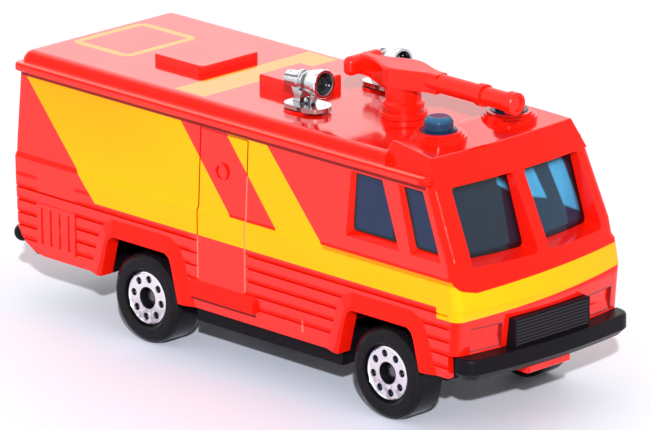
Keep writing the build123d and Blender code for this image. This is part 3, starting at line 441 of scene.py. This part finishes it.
def plated():
    """The floodlights' vacuum plating with painted reflections and shade, and each mouth painted dark
    with painted glints.
    """
    surface = Surface("plated", Roughness=0.14)
    x = surface.x
    _, _, upward = surface.facing()
    # Painted reflections and shade on the plating: dark blotches, darker hollows and undersides, a dark
    # band at the neck and a dark streak farther back
    dark_reflection_blotches = surface.noise(0.8, 2.0).over(0.58, 0.1) * 0.4
    hollow_shade = surface.open_air(0.6).under(0.62, 0.3) * 0.8
    underside_shade = upward.under(0.25, 0.5) * 0.45
    neck_dark_reflection = x.inside(FLOOD_FACE_X - 2.9, FLOOD_FACE_X - 2.0, 0.3) * upward.under(0.85, 0.3) * 0.95
    dark_reflection_streak = x.under(FLOOD_FACE_X - 3.2) * upward.inside(0.44, 0.66, 0.15) * 0.95
    reflection_and_shade = dark_reflection_blotches.either(hollow_shade).either(underside_shade).either(neck_dark_reflection).either(dark_reflection_streak)
    silver = surface.mix(srgb(225, 227, 231), srgb(244, 245, 248), surface.noise(1.5))
    silver = surface.mix(silver, srgb(84, 80, 88), reflection_and_shade)
    radius = (surface.side - FLOOD_Y).distance(surface.z - FLOOD_Z)
    mouth = radius.under(MOUTH_RADIUS) * x.over(FLOOD_FACE_X - MOUTH_DEPTH)
    # Each mouth is painted dark
    lens = surface.mix(srgb(8, 8, 10), srgb(52, 56, 60), surface.noise(1.1).over(0.5, 0.3))
    # Painted highlights: small pale glints in the dark mouth
    lens = surface.mix(lens, srgb(225, 228, 232), surface.noise(0.6, 1.0).over(0.69, 0.05))
    surface.link(surface.mix(silver, lens, mouth), "Base Color")
    surface.link(1.0 - mouth, "Metallic")
    surface.bump(surface.noise(1.2, 1.0), 0.01)
    return surface.material


def red_moulding():
    """The foam cannon's red plastic."""
    surface = Surface("red_moulding", Roughness=0.26, IOR=1.5, Specular_IOR_Level=0.3)
    plastic = surface.mix(srgb(226, 20, 4), srgb(236, 28, 8), surface.noise(3.0))
    surface.link(plastic, "Base Color")
    surface.bump(surface.noise(0.8, 2.0), 0.01)
    return surface.material


def lit_patches(surface):
    """The pale patches in the windscreen, lit from behind and cut off by slanted lines.

    Such a line runs where one coordinate plus a slope times the other has a set value.
    """
    y, z = surface.y, surface.z
    inner_corner = y.inside(-2.6, PANE_INNER_Y, 0.25) * (z + y * 0.67).over(27.0, 0.3)
    inner_band = y.over(PANE_INNER_Y) * (y + z * 0.315).under(13.0, 0.3)
    inner_band *= (z + y * 0.28).over(27.0, 0.3)
    outer_band = (y + z * 0.245).inside(13.6, 16.4, 0.3) * (z + y * 0.49).over(27.95, 0.3)
    return inner_corner.either(inner_band).either(outer_band)


def pane_edge_shade(surface):
    """Painted shade at the edges of the panes: where they meet the casting, and at the side windows'
    jambs and sill.
    """
    upright_x = surface.x - (JAMB_TOP_Z - surface.z) * JAMB_LEAN
    front_jamb = upright_x.under(FRONT_JAMB_X, 0.3) * surface.x.over(FRONT_PANE_X)
    jambs = surface.x.under(REAR_JAMB_X, 0.3).either(front_jamb)
    side_edges = jambs.either(surface.z.under(SILL_Z, 0.3)) * surface.side.over(SIDE_GLASS_Y)
    return surface.open_air(1.6).under(0.74, 0.3).either(side_edges)


def tinted():
    """The blue clear plastic of the windows and beacons, with painted light: a darker windscreen with a
    bluer left pane and pale lit patches, painted shade at the pane edges and a paler top on each beacon.
    """
    surface = Surface("tinted", Roughness=0.06, IOR=1.45, Specular_IOR_Level=0.3)
    cloud = surface.noise(2.4, 2.0)
    side_panes = surface.mix(srgb(20, 38, 78), srgb(30, 52, 92), cloud)
    # Painted light: the windscreen is painted darker than the side panes and its left pane bluer, though
    # all are one clear plastic
    windscreen = surface.mix(srgb(14, 32, 50), srgb(24, 46, 68), cloud)
    left_pane_light = surface.y.over(PANE_INNER_Y)
    windscreen = surface.mix(windscreen, srgb(16, 58, 88), left_pane_light * 0.7)
    patches = lit_patches(surface) * cloud.span(0.75, 0.3)
    windscreen = surface.mix(windscreen, srgb(72, 182, 235), patches)
    ahead = surface.x.over(WINDSCREEN_X) * surface.side.under(WINDSCREEN_HALF_Y)
    windows = surface.mix(side_panes, windscreen, ahead)
    # Painted shade: the panes darken at their edges
    rim_shade = pane_edge_shade(surface) * surface.z.under(ROOF_Z - 1.0)
    windows = surface.mix(windows, srgb(8, 6, 12), rim_shade)
    # Painted light: each beacon is paler at its top
    beacon_lit_top = surface.mix(srgb(8, 52, 92), srgb(40, 110, 150), surface.z.over(BEACON_TOP_Z, 0.6))
    surface.link(surface.mix(windows, beacon_lit_top, surface.z.over(ROOF_Z)), "Base Color")
    surface.link(surface.noise(6.0).span(0.25, 0.2), "Transmission Weight")
    return surface.material


def dress(node, material):
    """Gives a CAD node its finish."""
    materials = NODES[node].data.materials
    materials.clear()
    materials.append(material)


def floor():
    """A pale floor that fills the view and keeps the truck's shadow, with a painted pool of lavender
    light beside the truck.
    """
    reach = 6.0
    pool_x, pool_y, pool_stretch, pool_radius, pool_blend = 4.0, -16.0, 1.4, 28.0, 30.0
    mesh = bpy.data.meshes.new("floor")
    corners = [(-reach, -reach, 0), (reach, -reach, 0), (reach, reach, 0), (-reach, reach, 0)]
    mesh.from_pydata(corners, [], [(0, 1, 2, 3)])
    sheet = bpy.data.objects.new("floor", mesh)
    bpy.context.scene.collection.objects.link(sheet)
    surface = Surface("floor", Roughness=0.6)
    paper = surface.mix((0.92, 0.92, 0.985, 1), (0.94, 0.94, 0.99, 1), surface.noise(200.0))
    # Painted light: a lavender pool on the floor beside the truck
    from_pool = ((surface.x - pool_x) / pool_stretch).distance(surface.y - pool_y)
    lavender_light_pool = surface.mix(paper, (0.81, 0.85, 0.99, 1), from_pool.under(pool_radius, pool_blend))
    surface.link(lavender_light_pool, "Base Color")
    mesh.materials.append(surface.material)


def sky():
    """A world that is white to the camera, bright in reflections and softer as a light."""
    world = bpy.data.worlds.new("studio")
    bpy.context.scene.world = world
    world.use_nodes = True
    tree = world.node_tree
    back = tree.nodes["Background"]
    rays = tree.nodes.new("ShaderNodeLightPath").outputs
    glossy = Field(tree, rays["Is Glossy Ray"])
    seen = Field(tree, rays["Is Camera Ray"]).either(Field(tree, rays["Is Transmission Ray"]))
    strength = seen.span(AMBIENT, 1 - AMBIENT) + glossy * (MIRRORED - AMBIENT)
    tree.links.new(strength.socket, back.inputs["Strength"])
    back.inputs["Color"].default_value = (1, 1, 1, 1)


def flash():
    """The main lamp, just above the camera."""
    lamp = bpy.data.lights.new("flash", "SUN")
    lamp.energy = FLASH_STRENGTH
    lamp.angle = FLASH_ANGLE
    holder = bpy.data.objects.new("flash", lamp)
    holder.rotation_euler = FLASH_DIRECTION.to_track_quat("-Z", "Y").to_euler()
    bpy.context.scene.collection.objects.link(holder)


def camera():
    """The photograph's camera."""
    data = bpy.data.cameras.new("camera")
    data.sensor_width = SENSOR_WIDTH
    data.sensor_fit = "HORIZONTAL"
    data.lens = FOCAL_PIXELS / IMAGE_WIDTH * SENSOR_WIDTH
    data.clip_start = 0.01
    data.clip_end = 20
    holder = bpy.data.objects.new("camera", data)
    turn = Matrix((VIEW_RIGHT, VIEW_UP, VIEW_RIGHT.cross(VIEW_UP))).transposed()
    holder.matrix_world = Matrix.Translation(CAMERA_PLACE) @ turn.to_4x4()
    bpy.context.scene.collection.objects.link(holder)
    bpy.context.scene.camera = holder


dress("body_shell", red_enamel())
dress("glazing", tinted())
dress("base_plate", black_moulding())
dress("monitor", red_moulding())
floodlight_finish = plated()
axle_finish = steel()
for hand in ("left", "right"):
    dress("floodlight_" + hand, floodlight_finish)
for place, axle_x in (("front", FRONT_AXLE_X), ("rear", REAR_AXLE_X)):
    dress(place + "_axle", axle_finish)
    finish = wheel_finish("wheel_" + place, axle_x)
    for hand in ("left", "right"):
        dress("wheel_%s_%s" % (place, hand), finish)

floor()
sky()
flash()
camera()
bpy.context.scene.view_settings.view_transform = "Standard"
